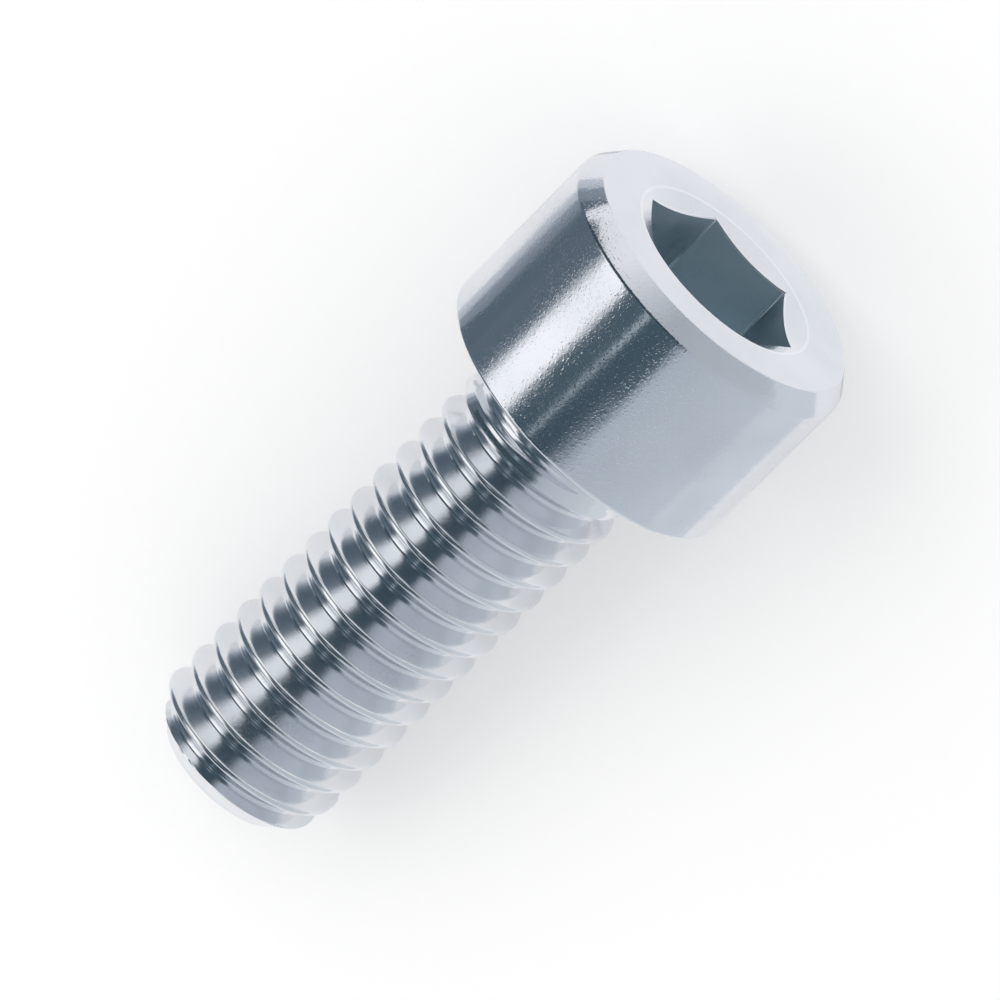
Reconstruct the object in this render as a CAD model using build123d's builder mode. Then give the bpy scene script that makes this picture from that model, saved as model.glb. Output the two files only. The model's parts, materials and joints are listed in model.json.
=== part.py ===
"""Hexagon socket head cap screw, M6 x 16, threaded up to a short plain neck.

The screw is modelled upright: its own axis is Z, the bearing face under the head is at
Z = 0, the head is above it and the shank below. The last block lays it down as it rests
on a flat surface, on the edge of its head and on the last full turn of its thread.
"""

from build123d import *

import os
from math import atan2, ceil, cos, degrees, radians, sin, sqrt, tan

# Driving dimensions, in millimetres and degrees ---------------------------------------

# Thread: ISO metric coarse, right-handed, with a rounded root
thread_diameter = 6.0
pitch = 1.0
flank_angle = 60.0
tip_chamfer = 0.9  # 45 degree chamfer on the end of the thread
thread_turn = 83.0  # where the groove reaches full depth, round the axis from the top side

# Shank
shank_length = 16.0  # from the bearing face to the flat end
neck_length = 2.0  # plain neck under the head
run_out_length = 0.9  # from the neck to the first thread of full height
neck_fillet = 0.25  # between the neck and the bearing face

# Head
head_diameter = 10.0
head_height = 6.0
rim_chamfer_width = 0.45  # measured on the flat top
rim_chamfer_height = 0.62  # measured down the side
seat_edge_chamfer = 0.2  # 45 degree chamfer on the lower edge

# Hexagon socket
socket_width = 5.0  # across the flats
socket_depth = 3.0
socket_cone_depth = 0.7  # shallow cone below the flats
mouth_diameter = 6.3  # countersink round the mouth
mouth_angle = 120.0
socket_turn = 25.0  # where one corner is, round the axis from the top side

# Clearances of the thread tool
groove_overlap = 0.06  # how far it stands out of the crests
run_out_overlap = 0.08  # how far it ends clear of the neck

# Derived sizes ------------------------------------------------------------------------

half_flank = radians(flank_angle / 2)
fundamental_height = pitch / 2 / tan(half_flank)
crest_radius = thread_diameter / 2
root_radius = crest_radius - fundamental_height * 17 / 24
root_half_width = pitch / 12  # of the flat that stands for the rounded root
groove_top = crest_radius + groove_overlap
groove_half_width = root_half_width + (groove_top - root_radius) * tan(half_flank)

neck_radius = crest_radius - fundamental_height * 3 / 8  # size of the blank before rolling
end_radius = crest_radius - tip_chamfer
full_thread_top = -(neck_length + run_out_length)
groove_turns = ceil((shank_length + full_thread_top) / pitch) + 1

head_radius = head_diameter / 2
mouth_radius = mouth_diameter / 2
mouth_depth = mouth_radius / tan(radians(mouth_angle / 2))
socket_corner_radius = socket_width / sqrt(3)
socket_floor = head_height - socket_depth

# One turn of the thread groove, and the run-out where it climbs out at the neck --------

with BuildSketch(Plane.XZ) as groove_section:
    with BuildLine():
        Polyline(
            (root_radius, -root_half_width),
            (groove_top, -groove_half_width),
            (groove_top, groove_half_width),
            (root_radius, root_half_width),
            close=True,
        )
    make_face()

with BuildPart() as groove:
    with BuildLine() as groove_path:
        Helix(pitch, pitch, root_radius)
    sweep(groove_section.sketch, path=groove_path.line, is_frenet=True)

run_out_rise = neck_radius + run_out_overlap - root_radius
run_out_angle = degrees(atan2(run_out_rise, run_out_length))

with BuildPart() as run_out:
    with BuildLine() as run_out_path:
        Helix(pitch, run_out_length, root_radius, cone_angle=run_out_angle)
    sweep(groove_section.sketch, path=run_out_path.line, is_frenet=True)

# The screw, standing on its axis --------------------------------------------------------

with BuildPart() as upright:
    # Head, neck and shank, turned round the axis
    with BuildSketch(Plane.back):
        with BuildLine():
            Polyline(
                (0, head_height),
                (head_radius - rim_chamfer_width, head_height),
                (head_radius, head_height - rim_chamfer_height),
                (head_radius, 0),
                (neck_radius, 0),
                (neck_radius, -neck_length),
                (crest_radius, full_thread_top),
                (crest_radius, -shank_length + tip_chamfer),
                (end_radius, -shank_length),
                (0, -shank_length),
                close=True,
            )
        make_face()
    revolve(axis=Axis.Z)

    seat_edges = upright.edges().filter_by(GeomType.CIRCLE).group_by(Axis.Z)[-3]
    neck_edge, head_edge = seat_edges.sort_by(SortBy.RADIUS)
    chamfer(head_edge, length=seat_edge_chamfer)
    fillet(neck_edge, radius=neck_fillet)

    # Hexagon socket, its shallow cone and its countersunk mouth
    with BuildSketch(Plane.XY.offset(head_height)):
        RegularPolygon(radius=socket_corner_radius, side_count=6, rotation=socket_turn)
    extrude(amount=-socket_depth, mode=Mode.SUBTRACT)
    with BuildSketch(Plane.back):
        with BuildLine():
            Polyline(
                (0, socket_floor),
                (socket_width / 2, socket_floor),
                (0, socket_floor - socket_cone_depth),
                close=True,
            )
        make_face()
        with BuildLine():
            Polyline(
                (0, head_height),
                (mouth_radius, head_height),
                (0, head_height - mouth_depth),
                close=True,
            )
        make_face()
    revolve(axis=Axis.Z, mode=Mode.SUBTRACT)

    # Thread, cut turn by turn from the run-out down past the end
    with Locations(*[(0, 0, full_thread_top - turn * pitch) for turn in range(1, groove_turns + 1)]):
        add(groove.part, rotation=(0, 0, thread_turn), mode=Mode.SUBTRACT)
    with Locations((0, 0, full_thread_top)):
        add(run_out.part, rotation=(0, 0, thread_turn), mode=Mode.SUBTRACT)

# The screw as it lies -------------------------------------------------------------------

contact_length = shank_length - tip_chamfer + seat_edge_chamfer  # between the touching places
rest_tilt = atan2(head_radius - crest_radius, contact_length)
seat_height = crest_radius * cos(rest_tilt) + (shank_length - tip_chamfer) * sin(rest_tilt)
head_reach = head_height * cos(rest_tilt) + (head_radius - rim_chamfer_width) * sin(rest_tilt)
tip_reach = shank_length * cos(rest_tilt) + end_radius * sin(rest_tilt)
rest_plane = Plane(
    origin=((tip_reach - head_reach) / 2, 0, seat_height),
    x_dir=(-sin(rest_tilt), 0, cos(rest_tilt)),
    z_dir=(cos(rest_tilt), 0, sin(rest_tilt)),
)

with BuildPart(rest_plane) as screw:
    add(upright.part)

screw.part.label = "socket_head_screw"
os.makedirs("parts", exist_ok=True)
export_step(screw.part, "parts/socket_head_screw.step")
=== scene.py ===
"""A polished M6 hexagon socket head cap screw, lying on a pale studio floor."""
import json
from math import atan2, cos, pi, radians, sin, tan

import bmesh
import bpy
from mathutils import Matrix, Quaternion, Vector


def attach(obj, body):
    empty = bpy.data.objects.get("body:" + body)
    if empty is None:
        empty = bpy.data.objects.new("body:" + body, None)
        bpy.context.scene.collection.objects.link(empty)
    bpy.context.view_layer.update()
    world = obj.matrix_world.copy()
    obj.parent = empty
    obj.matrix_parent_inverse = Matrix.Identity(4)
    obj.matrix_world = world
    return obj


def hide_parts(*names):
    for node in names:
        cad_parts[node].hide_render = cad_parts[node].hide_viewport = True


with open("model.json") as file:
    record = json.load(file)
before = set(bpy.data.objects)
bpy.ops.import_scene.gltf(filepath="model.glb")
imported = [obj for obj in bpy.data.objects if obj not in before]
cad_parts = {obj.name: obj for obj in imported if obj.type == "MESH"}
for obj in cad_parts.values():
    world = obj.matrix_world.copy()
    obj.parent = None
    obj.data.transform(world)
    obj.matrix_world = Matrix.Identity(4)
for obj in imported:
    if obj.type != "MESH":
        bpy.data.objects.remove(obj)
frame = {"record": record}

bl_info = {
    "name": "Socket Head Cap Screw",
    "version": (1, 0, 0),
    "blender": (4, 5, 0),
    "location": "View3D > Sidebar > Screw",
    "description": "Models a hexagon socket head cap screw in polished steel and its studio",
    "category": "Add Mesh",
}

NODE = "socket_head_screw"
MM = 0.001
MOUNTS = {mount["name"]: mount for mount in frame["record"]["mounts"]}
HEAD_RADIUS = MOUNTS["head"]["dims"]["r_mm"]
THREAD_RADIUS = MOUNTS["thread"]["dims"]["r_mm"]
SOCKET_WIDTH = 2 * MOUNTS["drive_socket"]["dims"]["r_mm"]
SOCKET_DEPTH = MOUNTS["drive_socket"]["dims"]["length_mm"]
MOUTH_CENTRE = Vector(MOUNTS["drive_socket"]["pos_m"])
TIP_CENTRE = Vector(MOUNTS["thread"]["pos_m"])
AXIS = (MOUTH_CENTRE - TIP_CENTRE).normalized()
UPPER_SIDE = Vector((0, 1, 0)).cross(AXIS) * -1
OVERALL = (MOUTH_CENTRE - TIP_CENTRE).length / MM
# The broached socket steel is also painted darker and bluer, as shade inside the socket.
# The burnished edge steel is also painted lighter, as a highlight on the rounded edges.
# The rolled thread steel is also painted lighter, as light against the shade between the thread's flanks.
POLISHED, BROACHED_PAINTED_SHADE, BURNISHED_PAINTED_HIGHLIGHT, ROLLED_PAINTED_LIGHT = 0, 1, 2, 3

# Steps round the axis. The thread and the tip are bridged, so they share theirs.
THREAD_STEPS = 120
HEAD_STEPS = 192
SHARP_ANGLE = radians(32)

# Flats of the thread's outline as shares of the pitch,
# and its depth as a share of the sharp triangle's height.
CREST_FLAT = 1 / 8
ROOT_FLAT = 1 / 6
DEPTH_SHARE = 17 / 24

# The steel's grain, as a noise scale and a height in metres, and how far a stain tints it at most.
GRAIN_SCALE = 6500.0
GRAIN_HEIGHT = 5e-6
STAIN_SHARE = 0.22

# The studio, in metres, and how far the tent's bands reach to either side of upright, in degrees.
TENT_RADIUS = 0.12
TENT_SPREAD = 100
CARD_HEIGHT = 0.0003


def length(name, description, default):
    """A size of the screw, in millimetres."""
    return bpy.props.FloatProperty(name=name, description=description, default=default, min=0.0)


def angle(name, description, default):
    """An angle, given in degrees and stored in radians."""
    return bpy.props.FloatProperty(
        name=name, description=description, default=radians(default), subtype="ANGLE", unit="ROTATION"
    )


def colour(name, description, default):
    """A linear colour."""
    return bpy.props.FloatVectorProperty(
        name=name, description=description, default=default, size=3, min=0.0, max=1.0, subtype="COLOR"
    )


class ScrewSizes(bpy.types.PropertyGroup):
    """Sizes and angles of the screw that a user would change, lengths in millimetres."""

    head_height: length("Head height", "From the bearing face to the flat top", 6.0)
    rim_width: length("Rim chamfer width", "Chamfer of the top edge, measured on the top", 0.45)
    rim_height: length("Rim chamfer height", "Chamfer of the top edge, measured down the side", 0.62)
    rim_round: length("Rim rounding", "Upper edge of the rim chamfer, half as much again below", 0.045)
    seat_round: length("Seat rounding", "Rounding of the lower edge of the head", 0.16)
    neck_radius: length("Neck radius", "Radius of the plain neck", 2.675)
    neck_length: length("Neck length", "Plain neck under the head", 0.9)
    neck_fillet: length("Neck fillet", "Fillet between the neck and the bearing face", 0.25)
    run_out: length("Run-out", "Length over which the thread fades into the neck", 1.0)
    mark_depth: length("Rolling mark depth", "Depth of the fine rolling marks on the run-out and neck", 0.007)
    pitch: length("Pitch", "Distance between two crests", 1.0)
    root_round: length("Root rounding", "Rounding of the corners of the roots", 0.07)
    crest_round: length("Crest rounding", "Rounding of the corners of the crests", 0.052)
    tip_chamfer: length("Tip chamfer", "45 degree chamfer on the end of the thread", 0.9)
    tip_round: length("Tip rounding", "Rounding of the edge of the flat end", 0.08)
    mouth_radius: length("Mouth radius", "Countersink round the socket", 3.15)
    mouth_round: length("Mouth rounding", "Rounding of the edges of the socket's mouth", 0.05)
    cone_depth: length("Socket cone", "Depth of the cone at the bottom of the socket", 0.7)
    mouth_angle: angle("Mouth angle", "Full angle of the countersink", 133.0)
    socket_turn: angle("Socket turn", "Where one corner of the hexagon is, round the axis", 25.0)
    thread_turn: angle("Thread turn", "Where the groove reaches full depth, round the axis", 83.0)


class SteelFinish(bpy.types.PropertyGroup):
    """Colours and roughness of the polished steel."""

    bright: colour("Bright steel", "Colour of the polished steel", (0.72, 0.745, 0.79))
    dull: colour("Dull steel", "Colour of the steel in its pits and stains", (0.50, 0.53, 0.58))
    # Darker and bluer than the bright steel: painted shade inside the socket, over its rougher broached
    # finish.
    broached_painted_shade: colour("Broached steel", "Colour of the steel inside the socket", (0.54, 0.64, 0.69))
    # Lighter than the bright steel: a painted highlight on the rounded edges, over their smoother rubbed
    # finish.
    burnished_painted_highlight: colour("Burnished steel", "Colour of the steel on the rubbed edges", (0.77, 0.79, 0.82))
    # Lighter than the bright steel: painted light against the shade between the thread's flanks, over its
    # rolled finish.
    rolled_painted_light: colour("Rolled steel", "Colour of the steel on the thread", (0.77, 0.79, 0.82))
    roughness: bpy.props.FloatProperty(
        name="Roughness", description="Roughness of the polished steel", default=0.12, min=0.0, max=1.0
    )


class StudioSettings(bpy.types.PropertyGroup):
    """Floor, lamps and camera."""

    floor_colour: colour("Floor", "Colour of the pale floor", (0.9, 0.9, 0.9))
    camera_place: bpy.props.FloatVectorProperty(
        name="Camera", description="Where the camera stands", default=(0.149724, -0.000116, 0.556977),
        size=3, subtype="TRANSLATION", unit="LENGTH", precision=6,
    )
    camera_aim: bpy.props.FloatVectorProperty(
        name="Aim", description="Where the camera looks", default=(0.000816, -0.000116, 0.004),
        size=3, subtype="TRANSLATION", unit="LENGTH", precision=6,
    )
    camera_roll: angle("Camera roll", "Turn of the camera about its own line of sight", -134.859)
    camera_lens: bpy.props.FloatProperty(
        name="Lens", description="Focal length in millimetres on a 36 mm sensor", default=720.0, min=1.0
    )


# Shaping, upright and in millimetres -----------------------------------------------------


def draw_line(mesh, points, turn=0.0):
    """Draws an open line through (radius, height) points in the half-plane at an angle round the axis."""
    verts = [mesh.verts.new((radius * cos(turn), radius * sin(turn), height)) for radius, height in points]
    edges = [mesh.edges.new(pair) for pair in zip(verts, verts[1:])]
    return verts, edges


def round_corners(mesh, verts, size, segments):
    """Rounds corners of a line."""
    bmesh.ops.bevel(
        mesh, geom=verts, offset=size, offset_type="OFFSET", segments=segments, profile=0.5,
        affect="VERTICES", material=-1,
    )


def round_edges(mesh, edges, size, segments, finish=POLISHED):
    """Rounds edges of a surface, and gives the rounding one of the screw's finishes."""
    rounding = bmesh.ops.bevel(
        mesh, geom=edges, offset=size, offset_type="OFFSET", segments=segments, profile=0.5,
        affect="EDGES", material=-1,
    )
    for face in rounding["faces"]:
        face.material_index = finish


def turn_line(mesh, points, steps, turn=0.0):
    """Turns a line of (radius, height) points once round the axis. Returns the new faces."""
    before = set(mesh.faces)
    verts, edges = draw_line(mesh, points, turn)
    bmesh.ops.spin(
        mesh, geom=verts + edges, cent=(0, 0, 0), axis=(0, 0, 1), dvec=(0, 0, 0), angle=2 * pi,
        steps=steps, use_merge=True,
    )
    bmesh.ops.remove_doubles(mesh, verts=mesh.verts[:], dist=1e-3)
    return [face for face in mesh.faces if face not in before]


def cut_across(mesh, height, clear_below=False, clear_above=False):
    """Splits the mesh at a height, and removes what lies on one side where asked."""
    bmesh.ops.bisect_plane(
        mesh, geom=mesh.verts[:] + mesh.edges[:] + mesh.faces[:], dist=1e-5, plane_co=(0, 0, height),
        plane_no=(0, 0, 1), clear_inner=clear_below, clear_outer=clear_above,
    )


def rim_at(mesh, height):
    """The open edges that lie at a height."""
    return [e for e in mesh.edges if e.is_boundary and all(abs(v.co.z - height) < 1e-4 for v in e.verts)]


def ring_at(mesh, radius, height):
    """The ring of edges at a radius and a height."""
    return [
        e for e in mesh.edges
        if all(abs(v.co.z - height) < 1e-4 and abs(v.co.xy.length - radius) < 1e-3 for v in e.verts)
    ]


def verts_of(drawn):
    """The vertices that an operator has drawn."""
    return [item for item in drawn if isinstance(item, bmesh.types.BMVert)]


def open_edges_of(drawn):
    """The edges that an operator has drawn and that have one face at most."""
    return [item for item in drawn if isinstance(item, bmesh.types.BMEdge) and item.is_boundary]


def held(value):
    """A value, held between 0 and 1."""
    return min(max(value, 0.0), 1.0)


def helix_phase(vert, start, pitch):
    """How many turns a vertex stands above the helix that starts at a height on the X axis."""
    return (vert.co.z - start) / pitch - (atan2(vert.co.y, vert.co.x) % (2 * pi)) / (2 * pi)


def blank_radius(sizes, height, full_top, chamfer_top):
    """Radius at a height of the turned blank: the tip chamfer, the full shank and the fall to the neck."""
    if height < chamfer_top:
        return THREAD_RADIUS - (chamfer_top - height)
    fall = held((height - full_top) / sizes.run_out)
    return THREAD_RADIUS + (sizes.neck_radius - THREAD_RADIUS) * fall


def spin_thread(sizes, root, root_start, lower_cut, upper_cut):
    """The thread's whole outline, spun one turn up its helix."""
    mesh = bmesh.new()
    pitch = sizes.pitch
    below = int((root_start - lower_cut) / pitch) + 2
    above = int((upper_cut - root_start) / pitch) + 2
    low = root_start - (below + 0.5) * pitch
    groove = (
        (THREAD_RADIUS, CREST_FLAT / 2),
        (root, (1 - ROOT_FLAT) / 2),
        (root, (1 + ROOT_FLAT) / 2),
        (THREAD_RADIUS, 1 - CREST_FLAT / 2),
    )
    verts, _ = draw_line(mesh, [
        (radius, low + (turn + share) * pitch) for turn in range(below + above) for radius, share in groove
    ])
    corners = list(enumerate(verts[1:-1], start=1))
    round_corners(mesh, [vert for place, vert in corners if place % 4 in (1, 2)], sizes.root_round, 3)
    round_corners(mesh, [vert for place, vert in corners if place % 4 in (0, 3)], sizes.crest_round, 3)
    flanks = [edge for edge in mesh.edges if edge.calc_length() > pitch / 3]
    bmesh.ops.subdivide_edges(mesh, edges=flanks, cuts=7)
    bmesh.ops.spin(
        mesh, geom=mesh.verts[:] + mesh.edges[:], cent=(0, 0, 0), axis=(0, 0, 1),
        dvec=(0, 0, pitch / THREAD_STEPS), angle=2 * pi, steps=THREAD_STEPS,
    )
    bmesh.ops.remove_doubles(mesh, verts=mesh.verts[:], dist=1e-4)
    return mesh


def shape_thread(sizes, end, lower_cut, upper_cut):
    """The threaded shank: the spun outline, which climbs out at the neck and is kept inside the blank."""
    pitch = sizes.pitch
    sharp_height = pitch / 2 / tan(radians(30))
    root = THREAD_RADIUS - sharp_height * DEPTH_SHARE
    full_top = -(sizes.neck_length + sizes.run_out)
    chamfer_top = end + sizes.tip_chamfer
    root_start = full_top - sizes.thread_turn / (2 * pi) * pitch
    mesh = spin_thread(sizes, root, root_start, lower_cut, upper_cut)
    for height in (full_top, -sizes.neck_length, chamfer_top):
        cut_across(mesh, height)
    cut_across(mesh, lower_cut, clear_below=True)
    cut_across(mesh, upper_cut, clear_above=True)

    past_neck = 0.08
    softness = 0.02
    marks_per_turn = 4
    mark_start, mark_end = 0.3, 0.1
    climb = sizes.neck_radius + past_neck - root
    for vert in mesh.verts:
        radius, height = vert.co.xy.length, vert.co.z
        phase = helix_phase(vert, root_start, pitch)
        root_height = height - (phase - round(phase)) * pitch
        cut = radius + held((root_height - full_top) / sizes.run_out) * climb
        blank = blank_radius(sizes, height, full_top, chamfer_top)
        share = held(0.5 + (cut - blank) / (2 * softness))
        kept = cut * (1 - share) + blank * share - softness * share * (1 - share)
        if cut - blank > softness or radius > THREAD_RADIUS - 1e-6 and blank >= THREAD_RADIUS:
            kept = min(cut, blank)
        marked = held((height - full_top) / mark_start) * held((upper_cut - height) / mark_end)
        kept += sizes.mark_depth * marked * (cos(2 * pi * marks_per_turn * phase) - 1)
        vert.co.x *= kept / radius
        vert.co.y *= kept / radius
    # The thread takes the rolled steel, whose lighter colour is painted light against the shade between its
    # flanks.
    for face in mesh.faces:
        face.material_index = ROLLED_PAINTED_LIGHT
    return mesh


def shape_tip(sizes, end, start):
    """The flat end of the shank, from a height on its chamfer."""
    mesh = bmesh.new()
    end_radius = THREAD_RADIUS - sizes.tip_chamfer
    inner_ring = 0.4 * end_radius
    turn_line(mesh, [
        (end_radius + start - end, start),
        (end_radius, end),
        (inner_ring, end),
        (0.0, end),
    ], THREAD_STEPS)
    # The tip's rounded edge takes the burnished steel, whose lighter colour is a painted highlight.
    round_edges(mesh, ring_at(mesh, end_radius, end), sizes.tip_round, 3, BURNISHED_PAINTED_HIGHLIGHT)
    return mesh


def cut_mouth(mesh, sizes):
    """The countersunk mouth, cut through by the six flats. Returns the edges of its hexagonal opening."""
    top = sizes.head_height
    slope = 1 / tan(sizes.mouth_angle / 2)
    reach_inside = 0.9
    inner = SOCKET_WIDTH / 2 * reach_inside
    profile = [(sizes.mouth_radius, top), (inner, top - (sizes.mouth_radius - inner) * slope)]
    mouth = turn_line(mesh, profile, HEAD_STEPS, sizes.socket_turn)
    flats = [
        Quaternion((0, 0, 1), sizes.socket_turn + radians(30 + 60 * side)) @ Vector((1, 0, 0))
        for side in range(6)
    ]
    nearest = [max(flats, key=face.calc_center_median().dot) for face in mouth]
    for flat in flats:
        sector = [face for face, side in zip(mouth, nearest) if side is flat]
        bounds = list(dict.fromkeys(item for face in sector for item in (*face.verts, *face.edges)))
        bmesh.ops.bisect_plane(
            mesh, geom=bounds + sector, dist=1e-6, plane_co=flat * SOCKET_WIDTH / 2, plane_no=flat,
        )
    opening = [
        face for face in mesh.faces if face.calc_center_median().z > top / 2
        and max(map(face.calc_center_median().dot, flats)) < SOCKET_WIDTH / 2
    ]
    bmesh.ops.delete(mesh, geom=opening, context="FACES")
    margin = 0.05
    within = sizes.mouth_radius - margin
    return [e for e in mesh.edges if e.is_boundary and max(v.co.xy.length for v in e.verts) < within]


def shape_socket(mesh, sizes):
    """The socket: its mouth, six walls and the cone at the bottom. Returns the edges that are worn round."""
    top = sizes.head_height
    lip = cut_mouth(mesh, sizes)
    walls = bmesh.ops.extrude_edge_only(mesh, edges=lip)["geom"]
    floor_verts = verts_of(walls)
    for vert in floor_verts:
        vert.co.z = top - SOCKET_DEPTH
    corner_radius = SOCKET_WIDTH / 2 / cos(radians(30))
    corners = [
        edge for edge in dict.fromkeys(edge for vert in floor_verts for edge in vert.link_edges)
        if not edge.is_boundary and all(abs(vert.co.xy.length - corner_radius) < 1e-3 for vert in edge.verts)
    ]
    inward = bmesh.ops.extrude_edge_only(mesh, edges=open_edges_of(walls))["geom"]
    cone_share = 0.97
    for vert in verts_of(inward):
        vert.co.xy = vert.co.xy.normalized() * SOCKET_WIDTH / 2 * cone_share
    centre = bmesh.ops.extrude_edge_only(mesh, edges=open_edges_of(inward))["geom"]
    cone_point = (0, 0, top - SOCKET_DEPTH - sizes.cone_depth)
    bmesh.ops.pointmerge(mesh, verts=verts_of(centre), merge_co=cone_point)
    bottom = top - SOCKET_DEPTH + 1e-4
    # The socket's walls and cone take the broached steel, whose darker, bluer colour is painted shade.
    for face in mesh.faces:
        if min(vert.co.z for vert in face.verts) < bottom:
            face.material_index = BROACHED_PAINTED_SHADE
    return lip + corners


def shape_head(sizes, start):
    """The head's flat top, rim chamfer, side, bearing face and the upper end of the neck."""
    mesh = bmesh.new()
    top = sizes.head_height
    worn = shape_socket(mesh, sizes)
    turn_line(mesh, [
        (sizes.mouth_radius, top),
        (HEAD_RADIUS - sizes.rim_width, top),
        (HEAD_RADIUS, top - sizes.rim_height),
        (HEAD_RADIUS, 0.0),
        (sizes.neck_radius, 0.0),
        (sizes.neck_radius, start),
    ], HEAD_STEPS, sizes.socket_turn)
    bmesh.ops.recalc_face_normals(mesh, faces=mesh.faces[:])
    lower_round = sizes.rim_round * 1.5
    round_edges(mesh, ring_at(mesh, HEAD_RADIUS - sizes.rim_width, top), sizes.rim_round, 4)
    round_edges(mesh, ring_at(mesh, HEAD_RADIUS, top - sizes.rim_height), lower_round, 4)
    round_edges(mesh, ring_at(mesh, HEAD_RADIUS, 0.0), sizes.seat_round, 5)
    round_edges(mesh, ring_at(mesh, sizes.neck_radius, 0.0), sizes.neck_fillet, 6)
    # The rounded edges of the mouth and socket take the burnished steel, whose lighter colour is a painted
    # highlight.
    round_edges(mesh, ring_at(mesh, sizes.mouth_radius, top), sizes.mouth_round, 3, BURNISHED_PAINTED_HIGHLIGHT)
    round_edges(mesh, [edge for edge in worn if edge.is_valid], sizes.mouth_round, 3, BURNISHED_PAINTED_HIGHLIGHT)
    return mesh


class MESH_OT_socket_head_screw(bpy.types.Operator):
    """Model the socket head cap screw as it lies"""

    bl_idname = "mesh.socket_head_screw"
    bl_label = "Socket Head Cap Screw"

    def execute(self, context):
        sizes = context.scene.screw_sizes
        end = sizes.head_height - OVERALL
        tip_share, neck_share = 0.25, 0.4
        tip_cut = end + sizes.tip_chamfer * tip_share
        neck_cut = -neck_share * sizes.neck_length
        gap = 0.02
        data = bpy.data.meshes.new("polished_screw")
        mesh = bmesh.new()
        for part in (
            shape_thread(sizes, end, tip_cut, neck_cut),
            shape_tip(sizes, end, tip_cut - gap),
            shape_head(sizes, neck_cut + gap),
        ):
            part.to_mesh(data)
            mesh.from_mesh(data)
            part.free()
        for height, other in ((tip_cut, tip_cut - gap), (neck_cut, neck_cut + gap)):
            bmesh.ops.bridge_loops(mesh, edges=rim_at(mesh, height) + rim_at(mesh, other))
        bmesh.ops.recalc_face_normals(mesh, faces=mesh.faces[:])

        across = AXIS.cross(UPPER_SIDE)
        lay_down = Matrix((UPPER_SIDE, across, AXIS)).transposed().to_4x4()
        lay_down.translation = MOUTH_CENTRE - AXIS * sizes.head_height * MM
        bmesh.ops.transform(mesh, matrix=lay_down @ Matrix.Scale(MM, 4), verts=mesh.verts[:])
        for face in mesh.faces:
            face.smooth = True
        for edge in mesh.edges:
            edge.smooth = edge.calc_face_angle(pi) < SHARP_ANGLE
        mesh.to_mesh(data)
        mesh.free()
        screw = bpy.data.objects.new("polished_screw", data)
        context.collection.objects.link(screw)
        even = screw.modifiers.new("Even shading", "WEIGHTED_NORMAL")
        even.keep_sharp = True
        finish = context.scene.steel_finish
        surface = steel_surface()
        for name, clean, stained, roughness, relief_depth, pitting in (
            ("polished_steel", finish.bright, finish.dull, finish.roughness, 0.45, 0.16),
            # The socket's steel: rougher, and darker and bluer as painted shade.
            ("broached_painted_shade_steel", finish.broached_painted_shade, finish.dull, 0.38, 0.5, 0.1),
            # The rounded edges' steel: smoother, and lighter as a painted highlight.
            ("burnished_painted_highlight_edge", finish.burnished_painted_highlight, finish.bright, 0.1, 0.2, 0.05),
            # The thread's steel: lighter as painted light against the shade between its flanks.
            ("rolled_painted_light_steel", finish.rolled_painted_light, finish.dull, 0.15, 0.1, 0.1),
        ):
            data.materials.append(steel(name, surface, clean, stained, roughness, relief_depth, pitting))
        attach(screw, "root")
        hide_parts(NODE)
        return {"FINISHED"}


# Steel -------------------------------------------------------------------------------------


def steel_surface():
    """What the finishes share: faint stains, the height of the fine grain, and pits in the stains."""
    group = bpy.data.node_groups.new("steel_surface", "ShaderNodeTree")
    group.interface.new_socket("Grain Scale", in_out="INPUT", socket_type="NodeSocketFloat")
    group.interface.new_socket("Stains", in_out="OUTPUT", socket_type="NodeSocketFloat")
    group.interface.new_socket("Grain", in_out="OUTPUT", socket_type="NodeSocketFloat")
    group.interface.new_socket("Pits", in_out="OUTPUT", socket_type="NodeSocketFloat")
    node, link = group.nodes.new, group.links.new
    given = node("NodeGroupInput")
    result = node("NodeGroupOutput")
    place = node("ShaderNodeTexCoord")

    stains = node("ShaderNodeTexNoise")
    stains.inputs["Scale"].default_value = 420.0
    stains.inputs["Detail"].default_value = 5.0
    link(place.outputs["Object"], stains.inputs["Vector"])
    spread = node("ShaderNodeMapRange")
    spread.inputs["From Min"].default_value = 0.38
    spread.inputs["From Max"].default_value = 0.66
    link(stains.outputs["Fac"], spread.inputs["Value"])
    link(spread.outputs["Result"], result.inputs["Stains"])

    peel = node("ShaderNodeTexNoise")
    peel.inputs["Detail"].default_value = 2.0
    link(place.outputs["Object"], peel.inputs["Vector"])
    link(given.outputs["Grain Scale"], peel.inputs["Scale"])
    fine_scale = node("ShaderNodeMath")
    fine_scale.operation = "MULTIPLY"
    fine_scale.inputs[1].default_value = 1.9
    link(given.outputs["Grain Scale"], fine_scale.inputs[0])
    specks = node("ShaderNodeTexNoise")
    specks.inputs["Detail"].default_value = 1.0
    link(place.outputs["Object"], specks.inputs["Vector"])
    link(fine_scale.outputs["Value"], specks.inputs["Scale"])
    proud = node("ShaderNodeMapRange")
    proud.inputs["From Min"].default_value = 0.58
    proud.inputs["From Max"].default_value = 0.75
    proud.inputs["To Max"].default_value = 0.9
    link(specks.outputs["Fac"], proud.inputs["Value"])
    matt = node("ShaderNodeMapRange")
    matt.inputs["From Min"].default_value = 0.46
    matt.inputs["From Max"].default_value = 0.34
    link(specks.outputs["Fac"], matt.inputs["Value"])
    patches = node("ShaderNodeMath")
    patches.operation = "MULTIPLY"
    link(matt.outputs["Result"], patches.inputs[0])
    link(spread.outputs["Result"], patches.inputs[1])
    link(patches.outputs["Value"], result.inputs["Pits"])
    height = node("ShaderNodeMath")
    height.operation = "ADD"
    link(peel.outputs["Fac"], height.inputs[0])
    link(proud.outputs["Result"], height.inputs[1])
    link(height.outputs["Value"], result.inputs["Grain"])
    return group


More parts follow.
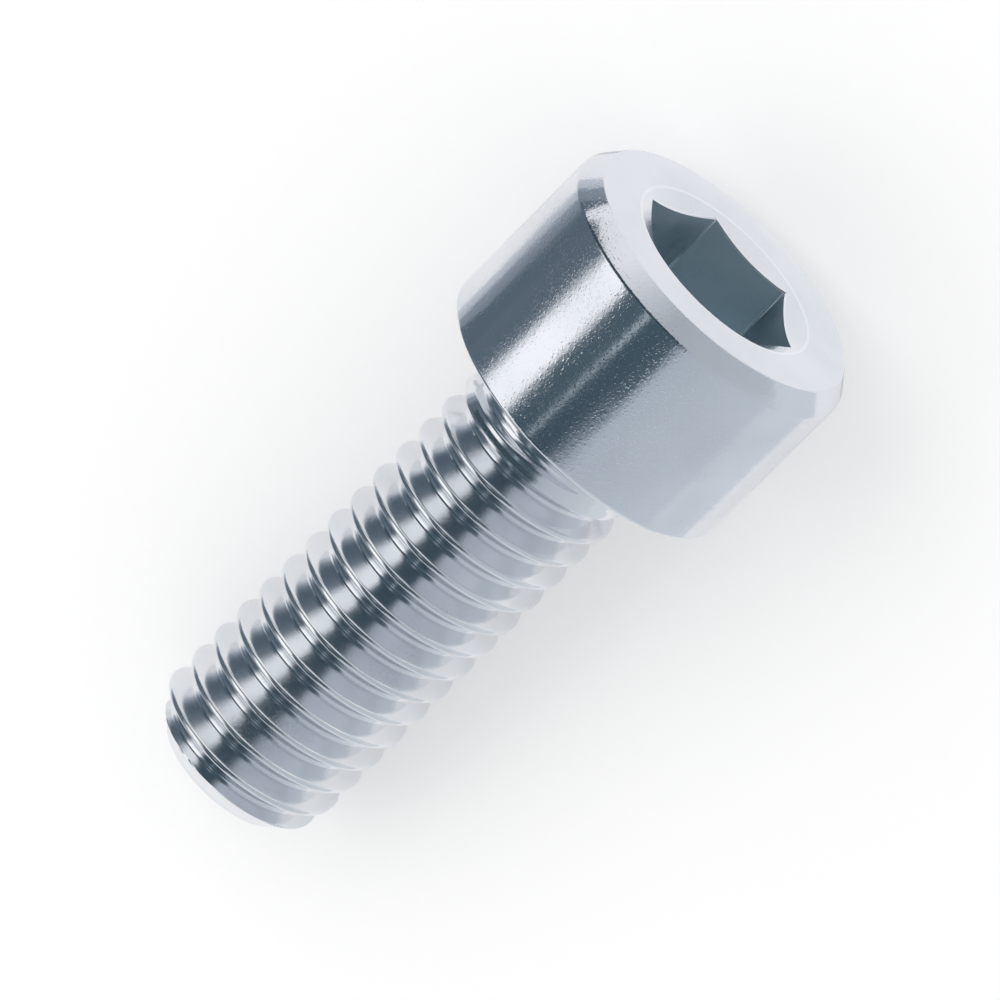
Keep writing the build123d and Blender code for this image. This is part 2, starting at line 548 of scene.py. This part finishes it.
def steel(name, surface, clean, stained, roughness, relief_depth, pitting):
    """One finish of the steel: its colours, roughness, depth of grain and how matt its pits are."""
    material = bpy.data.materials.new(name)
    material.use_nodes = True
    tree = material.node_tree
    tree.nodes.clear()
    node, link = tree.nodes.new, tree.links.new
    output = node("ShaderNodeOutputMaterial")
    metal = node("ShaderNodeBsdfPrincipled")
    metal.inputs["Metallic"].default_value = 1.0
    link(metal.outputs["BSDF"], output.inputs["Surface"])
    shared = node("ShaderNodeGroup")
    shared.node_tree = surface
    shared.inputs["Grain Scale"].default_value = GRAIN_SCALE

    tint = node("ShaderNodeMix")
    tint.data_type = "RGBA"
    tint.inputs["A"].default_value = (*clean, 1.0)
    tint.inputs["B"].default_value = (*stained, 1.0)
    amount = node("ShaderNodeMath")
    amount.operation = "MULTIPLY"
    amount.inputs[1].default_value = STAIN_SHARE
    link(shared.outputs["Stains"], amount.inputs[0])
    link(amount.outputs["Value"], tint.inputs["Factor"])
    link(tint.outputs["Result"], metal.inputs["Base Color"])

    rough = node("ShaderNodeMapRange")
    rough.inputs["To Min"].default_value = roughness * 0.85
    rough.inputs["To Max"].default_value = roughness * 1.3
    link(shared.outputs["Stains"], rough.inputs["Value"])
    pitted = node("ShaderNodeMath")
    pitted.operation = "MULTIPLY_ADD"
    pitted.inputs[1].default_value = pitting
    link(shared.outputs["Pits"], pitted.inputs[0])
    link(rough.outputs["Result"], pitted.inputs[2])
    link(pitted.outputs["Value"], metal.inputs["Roughness"])

    relief = node("ShaderNodeBump")
    relief.inputs["Strength"].default_value = 1.0
    relief.inputs["Distance"].default_value = relief_depth * GRAIN_HEIGHT
    link(shared.outputs["Grain"], relief.inputs["Height"])
    link(relief.outputs["Normal"], metal.inputs["Normal"])
    return material


# Studio --------------------------------------------------------------------------------------


def plain_material(name, base, glow=0.0):
    """A matt colour, which glows a little for the camera and for what mirrors it or shows it through."""
    material = bpy.data.materials.new(name)
    material.use_nodes = True
    tree = material.node_tree
    matt = tree.nodes["Principled BSDF"]
    matt.inputs["Base Color"].default_value = (*base, 1.0)
    matt.inputs["Roughness"].default_value = 1.0
    matt.inputs["Specular IOR Level"].default_value = 0.0
    matt.inputs["Emission Color"].default_value = (1.0, 1.0, 1.0, 1.0)
    if glow:
        rays = tree.nodes.new("ShaderNodeLightPath")
        mirrored = tree.nodes.new("ShaderNodeMath")
        mirrored.operation = "MAXIMUM"
        shown = tree.nodes.new("ShaderNodeMath")
        shown.operation = "MAXIMUM"
        share = tree.nodes.new("ShaderNodeMath")
        share.operation = "MULTIPLY"
        share.inputs[1].default_value = glow
        tree.links.new(rays.outputs["Is Camera Ray"], mirrored.inputs[0])
        tree.links.new(rays.outputs["Is Glossy Ray"], mirrored.inputs[1])
        tree.links.new(mirrored.outputs["Value"], shown.inputs[0])
        tree.links.new(rays.outputs["Is Transmission Ray"], shown.inputs[1])
        tree.links.new(shown.outputs["Value"], share.inputs[0])
        tree.links.new(share.outputs["Value"], matt.inputs["Emission Strength"])
    return material


def show_only_in_reflections(card):
    """Hides a card from all but what mirrors it."""
    card.visible_camera = False
    card.visible_diffuse = False
    card.visible_shadow = False
    card.visible_transmission = False


def tent_material(bands):
    """The tent's cloth: its light and dark panels follow one another round the screw's axis."""
    material = bpy.data.materials.new("tent_cloth")
    material.use_nodes = True
    tree = material.node_tree
    cloth = tree.nodes["Principled BSDF"]
    cloth.inputs["Base Color"].default_value = (0.0, 0.0, 0.0, 1.0)
    cloth.inputs["Specular IOR Level"].default_value = 0.0
    cloth.inputs["Emission Strength"].default_value = 1.0
    place = tree.nodes.new("ShaderNodeTexCoord")
    parts = tree.nodes.new("ShaderNodeSeparateXYZ")
    tree.links.new(place.outputs["Object"], parts.inputs["Vector"])
    turn = tree.nodes.new("ShaderNodeMath")
    turn.operation = "ARCTAN2"
    tree.links.new(parts.outputs["Y"], turn.inputs[0])
    tree.links.new(parts.outputs["Z"], turn.inputs[1])
    share = tree.nodes.new("ShaderNodeMapRange")
    share.inputs["From Min"].default_value = radians(TENT_SPREAD)
    share.inputs["From Max"].default_value = radians(-TENT_SPREAD)
    tree.links.new(turn.outputs["Value"], share.inputs["Value"])
    ramp = tree.nodes.new("ShaderNodeValToRGB")
    elements = ramp.color_ramp.elements
    while len(elements) > 1:
        elements.remove(elements[-1])
    elements[0].position = 0.0
    elements[0].color = (*bands[0][1], 1.0)
    for degree, tone in bands:
        stop = elements.new((degree + TENT_SPREAD) / (2 * TENT_SPREAD))
        stop.color = (*tone, 1.0)
    tree.links.new(share.outputs["Result"], ramp.inputs["Fac"])
    tree.links.new(ramp.outputs["Color"], cloth.inputs["Emission Color"])
    return material


def hang_tent(context, start, reach, material):
    """Hangs a stretch of half-round tent over the screw, from one side of the floor to the other."""
    mesh = bmesh.new()
    verts = [mesh.verts.new((x, TENT_RADIUS, 0.0)) for x in (start, start + reach)]
    edge = mesh.edges.new(verts)
    bmesh.ops.spin(
        mesh, geom=verts + [edge], cent=(0, 0, 0), axis=(1, 0, 0), dvec=(0, 0, 0), angle=pi, steps=64
    )
    data = bpy.data.meshes.new("light_tent")
    mesh.to_mesh(data)
    mesh.free()
    tent = bpy.data.objects.new("light_tent", data)
    data.materials.append(material)
    context.collection.objects.link(tent)
    show_only_in_reflections(tent)


def lay_card(context, name, low_x, high_x, low_y, high_y, material):
    """Lays a flat card just above the floor."""
    mesh = bmesh.new()
    verts = [mesh.verts.new((low_x, y, CARD_HEIGHT)) for y in (low_y, high_y)]
    edge = mesh.edges.new(verts)
    drawn = bmesh.ops.extrude_edge_only(mesh, edges=[edge])["geom"]
    bmesh.ops.translate(mesh, verts=verts_of(drawn), vec=(high_x - low_x, 0.0, 0.0))
    data = bpy.data.meshes.new(name)
    mesh.to_mesh(data)
    mesh.free()
    card = bpy.data.objects.new(name, data)
    data.materials.append(material)
    context.collection.objects.link(card)
    show_only_in_reflections(card)


def card_material(name, tone):
    """A card of one even tone."""
    material = bpy.data.materials.new(name)
    material.use_nodes = True
    card = material.node_tree.nodes["Principled BSDF"]
    card.inputs["Base Color"].default_value = (0.0, 0.0, 0.0, 1.0)
    card.inputs["Specular IOR Level"].default_value = 0.0
    card.inputs["Emission Color"].default_value = (*tone, 1.0)
    card.inputs["Emission Strength"].default_value = 1.0
    return material


def lay_floor(context, tone):
    """Lays the pale floor."""
    mesh = bmesh.new()
    bmesh.ops.create_grid(mesh, x_segments=1, y_segments=1, size=2.0)
    data = bpy.data.meshes.new("floor")
    mesh.to_mesh(data)
    mesh.free()
    floor = bpy.data.objects.new("floor", data)
    data.materials.append(plain_material("pale_floor", tone, glow=0.22))
    context.collection.objects.link(floor)


def hang_tents(context):
    """Hangs the tent's stretches round the head, the shank and the front.

    A band's place is its angle from upright, in degrees.
    """
    head_cloth = tent_material([
        (-92, (0.14, 0.18, 0.22)), (-66.5, (0.11, 0.15, 0.19)), (-60.5, (1.22, 1.22, 1.22)),
        (-39, (1.22, 1.22, 1.22)), (-34, (0.085, 0.13, 0.16)), (-17.2, (0.085, 0.13, 0.16)),
        (-15.6, (0.42, 0.49, 0.53)), (-13.0, (0.42, 0.49, 0.53)), (-11.6, (0.07, 0.11, 0.14)),
        (12, (0.07, 0.11, 0.14)), (18, (0.50, 0.55, 0.60)), (92, (0.66, 0.71, 0.75)),
    ])
    hang_tent(context, -0.0595, 0.0645, head_cloth)
    shank_cloth = tent_material([
        (-92, (0.22, 0.27, 0.31)), (-76, (0.19, 0.23, 0.27)), (-63, (1.22, 1.22, 1.22)),
        (-39, (1.22, 1.22, 1.22)), (-33, (0.05, 0.085, 0.11)), (3, (0.05, 0.085, 0.11)),
        (11, (0.60, 0.65, 0.70)), (92, (0.80, 0.84, 0.88)),
    ])
    hang_tent(context, -0.6, 0.5405, shank_cloth)
    front_cloth = tent_material([
        (-92, (0.05, 0.08, 0.10)), (13, (0.05, 0.08, 0.10)),
        (18, (0.50, 0.55, 0.60)), (92, (0.68, 0.72, 0.76)),
    ])
    hang_tent(context, 0.0055, 0.07, front_cloth)


def lay_cards(context):
    """Lays the cards on both sides of the head and the shank, and in front of the head's face."""
    dark_card = card_material("dark_card", (0.12, 0.16, 0.20))
    dim_card = card_material("dim_card", (0.27, 0.31, 0.36))
    soft_card = card_material("soft_card", (0.60, 0.64, 0.69))
    grey_card = card_material("grey_card", (0.74, 0.78, 0.82))
    # Grey card standing for the head's contact shadow: painted shadow, seen only in the steel's reflections.
    painted_shadow_card = card_material("painted_shadow_card", (0.60, 0.63, 0.66))
    # Glowing white card: painted light over the floor's shade in front of the head, seen only in the face's
    # reflection.
    painted_light_card = card_material("face_painted_light", (1.0, 1.01, 1.02))
    far_end, joint, front_end = -0.6, -0.002, 0.026
    beyond_tent = 0.121
    for name, low_x, high_x, low_y, high_y, material in (
        ("dark_strip", joint, front_end, 0.024, beyond_tent, dark_card),
        ("dim_strip", joint, front_end, 0.0155, 0.024, dim_card),
        ("soft_strip", joint, front_end, 0.0120, 0.0155, soft_card),
        ("shank_dark_strip", far_end, joint, 0.0145, beyond_tent, dark_card),
        ("shank_dim_strip", far_end, joint, 0.0105, 0.0145, dim_card),
        ("shank_soft_strip", far_end, joint, 0.0085, 0.0105, soft_card),
        ("grey_strip", far_end, 0.076, -beyond_tent, -0.012, grey_card),
        # Two narrow grey cards beside the head: painted shadow in place of its contact shadow on the floor,
        # seen only where the steel mirrors it.
        ("painted_shadow_left", 0.0053, 0.0112, 0.0050, 0.0058, painted_shadow_card),
        ("painted_shadow_right", 0.0053, 0.0112, -0.0058, -0.0050, painted_shadow_card),
        # The card in front of the face: painted light that hides the floor's shade from the face's
        # reflection.
        ("face_painted_light_card", 0.0114, 0.02, -0.007, 0.007, painted_light_card),
    ):
        lay_card(context, name, low_x, high_x, low_y, high_y, material)


def hang_lamp(context):
    """Hangs the soft box that casts the shadow, turned towards the screw."""
    lamp = bpy.data.lights.new("soft_box", "AREA")
    lamp.shape = "RECTANGLE"
    lamp.size, lamp.size_y = 0.5, 0.25
    lamp.energy = 0.32
    box = bpy.data.objects.new("soft_box", lamp)
    towards = Vector((-0.1, 0.8, 1.0)).normalized()
    distance = 0.35
    box.location = towards * distance
    box.rotation_euler = towards.to_track_quat("Z", "Y").to_euler()
    box.visible_glossy = False
    context.collection.objects.link(box)


def paint_room(context):
    """Paints the room white, and dimmer where it only lights matt surfaces."""
    world = bpy.data.worlds.new("white_room")
    world.use_nodes = True
    tree = world.node_tree
    room = tree.nodes["Background"]
    room.inputs["Color"].default_value = (1.0, 1.0, 1.0, 1.0)
    rays = tree.nodes.new("ShaderNodeLightPath")
    seen = tree.nodes.new("ShaderNodeMath")
    seen.operation = "SUBTRACT"
    seen.inputs[0].default_value = 1.0
    tree.links.new(rays.outputs["Is Diffuse Ray"], seen.inputs[1])
    strength = tree.nodes.new("ShaderNodeMapRange")
    strength.inputs["To Min"].default_value = 0.75
    strength.inputs["To Max"].default_value = 1.0
    tree.links.new(seen.outputs["Value"], strength.inputs["Value"])
    tree.links.new(strength.outputs["Result"], room.inputs["Strength"])
    context.scene.world = world


def set_camera(context, studio):
    """Sets the camera, turned about its own line of sight."""
    camera_data = bpy.data.cameras.new("camera")
    camera_data.lens = studio.camera_lens
    camera_data.sensor_width = 36.0
    camera_data.clip_start, camera_data.clip_end = 0.05, 10.0
    camera = bpy.data.objects.new("camera", camera_data)
    place, aim = Vector(studio.camera_place), Vector(studio.camera_aim)
    facing = (aim - place).to_track_quat("-Z", "Y")
    camera.rotation_mode = "QUATERNION"
    camera.rotation_quaternion = facing @ Quaternion((0, 0, 1), studio.camera_roll)
    camera.location = place
    context.collection.objects.link(camera)
    context.scene.camera = camera


def hang_far_tent(context):
    """Hangs the stretch of tent far in front of the head, which the rim chamfer mirrors."""
    cloth = tent_material([
        (-92, (1.0, 1.0, 1.0)), (-55, (1.0, 1.0, 1.0)), (0, (0.5, 0.53, 0.56)), (92, (0.6, 0.64, 0.68)),
    ])
    hang_tent(context, 0.0755, 0.12, cloth)


class SCENE_OT_screw_studio(bpy.types.Operator):
    """Set up the floor, tent, cards, lamp and camera"""

    bl_idname = "scene.screw_studio"
    bl_label = "Studio"

    def execute(self, context):
        studio = context.scene.screw_studio
        lay_floor(context, studio.floor_colour)
        hang_tents(context)
        lay_cards(context)
        hang_far_tent(context)
        hang_lamp(context)
        paint_room(context)
        set_camera(context, studio)
        context.scene.view_settings.view_transform = "Standard"
        return {"FINISHED"}


class VIEW3D_PT_screw(bpy.types.Panel):
    """Sizes, finish and studio of the screw"""

    bl_idname = "VIEW3D_PT_screw"
    bl_label = "Socket Head Cap Screw"
    bl_space_type = "VIEW_3D"
    bl_region_type = "UI"
    bl_category = "Screw"

    def draw(self, context):
        for title, group in (
            ("Sizes", context.scene.screw_sizes),
            ("Steel", context.scene.steel_finish),
            ("Studio", context.scene.screw_studio),
        ):
            box = self.layout.box()
            box.label(text=title)
            for name in group.__annotations__:
                box.prop(group, name)
        self.layout.operator(MESH_OT_socket_head_screw.bl_idname)
        self.layout.operator(SCENE_OT_screw_studio.bl_idname)


CLASSES = (
    ScrewSizes, SteelFinish, StudioSettings, MESH_OT_socket_head_screw, SCENE_OT_screw_studio, VIEW3D_PT_screw
)


def register():
    for item in CLASSES:
        bpy.utils.register_class(item)
    bpy.types.Scene.screw_sizes = bpy.props.PointerProperty(type=ScrewSizes)
    bpy.types.Scene.steel_finish = bpy.props.PointerProperty(type=SteelFinish)
    bpy.types.Scene.screw_studio = bpy.props.PointerProperty(type=StudioSettings)


def unregister():
    del bpy.types.Scene.screw_studio
    del bpy.types.Scene.steel_finish
    del bpy.types.Scene.screw_sizes
    for item in reversed(CLASSES):
        bpy.utils.unregister_class(item)


def main():
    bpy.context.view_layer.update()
    register()
    bpy.ops.mesh.socket_head_screw()
    bpy.ops.scene.screw_studio()


if __name__ == "__main__":
    main()
